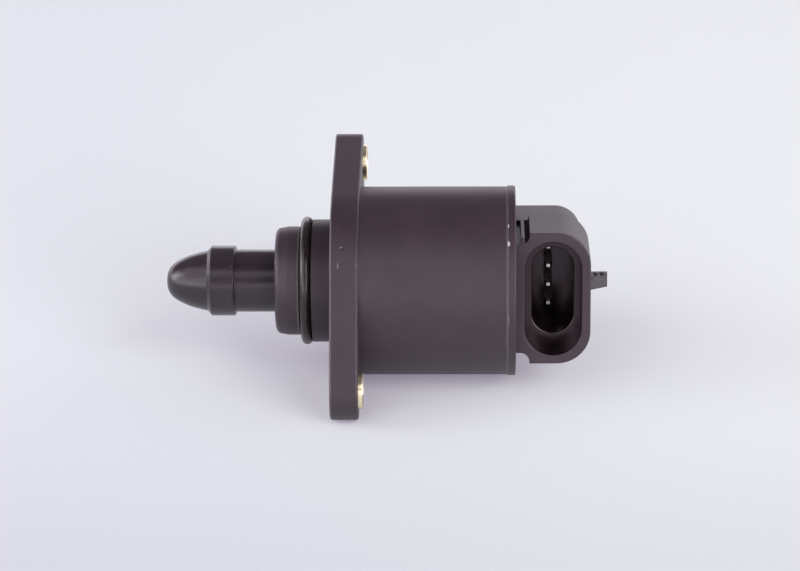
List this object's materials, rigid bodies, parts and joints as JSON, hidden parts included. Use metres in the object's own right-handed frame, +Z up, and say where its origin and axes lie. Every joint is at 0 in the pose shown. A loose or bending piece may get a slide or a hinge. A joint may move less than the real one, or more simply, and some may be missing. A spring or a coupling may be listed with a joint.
{
  "type": "idle air control valve",
  "caption": "Idle air control valve: plastic barrel with a flange and bushed ears, sealed spigot, bullet-nosed pintle slid by a stepper motor, and a sideways pin connector.",
  "frame": {"origin": "on the valve axis, in the flange's seating face, at the middle of the sealed spigot's root", "axes": "+X along the valve axis from the pintle nose to the connector, +Z up as the valve lies on a table, the connector's socket facing -Y"},
  "size_m": [0.0755, 0.0502, 0.0342],
  "materials": {
    "housing_plastic": "fine moulded matt",
    "cap_plastic": "fine moulded matt",
    "pintle_plastic": "smooth satin",
    "seal_rubber": "satin",
    "bush_brass": "rolled",
    "nut_brass": "turned",
    "bush_bronze": "sintered",
    "screw_steel": "rolled thread",
    "hub_plastic": "moulded",
    "magnet_ferrite": "ground",
    "cage_steel": "pressed",
    "bobbin_plastic": "moulded",
    "winding_copper": "enamelled wire",
    "spring_steel": "blued",
    "pole_steel": "plated sheet",
    "bearing_steel": "ground",
    "terminal_tin": "tinned"
  },
  "bodies": {
    "housing": {"valve_body": "housing_plastic", "seal_ring": "seal_rubber", "flange_bush_front": "bush_brass", "flange_bush_back": "bush_brass", "rear_cap": "cap_plastic", "terminal_1": "terminal_tin", "terminal_2": "terminal_tin", "terminal_3": "terminal_tin", "terminal_4": "terminal_tin", "front_end_pole_cup": "pole_steel", "front_middle_pole_plate": "pole_steel", "front_bobbin": "bobbin_plastic", "front_winding": "winding_copper", "rear_end_pole_cup": "pole_steel", "rear_middle_pole_plate": "pole_steel", "rear_bobbin": "bobbin_plastic", "rear_winding": "winding_copper", "bearing_outer_ring": "bearing_steel", "rear_bush": "bush_bronze", "preload_washer": "spring_steel"},
    "rotor": {"rotor_hub": "hub_plastic", "rotor_magnet": "magnet_ferrite", "lead_screw": "screw_steel", "bearing_inner_ring": "bearing_steel"},
    "pintle": {"pintle": "pintle_plastic", "drive_nut": "nut_brass"},
    "ball_set": {"bearing_balls": "bearing_steel", "bearing_cage": "cage_steel"}
  },
  "joints": [
    {"name": "rotor_spin", "type": "hinge", "parent": "housing", "child": "rotor", "pos_m": [0, 0, 0], "axis": [1, 0, 0], "range_deg": [-2160, 720]},
    {"name": "pintle_slide", "type": "slide", "parent": "housing", "child": "pintle", "axis": [-1, 0, 0], "range_m": [-0.006, 0.002]},
    {"name": "ball_set_spin", "type": "hinge", "parent": "housing", "child": "ball_set", "pos_m": [0, 0, 0], "axis": [1, 0, 0], "range_deg": [-882, 294]}
  ],
  "couplings": [
    {"joint": "pintle_slide", "follows": "rotor_spin", "m_per_rad": 0.00015915},
    {"joint": "ball_set_spin", "follows": "rotor_spin", "ratio": 0.4083}
  ]
}
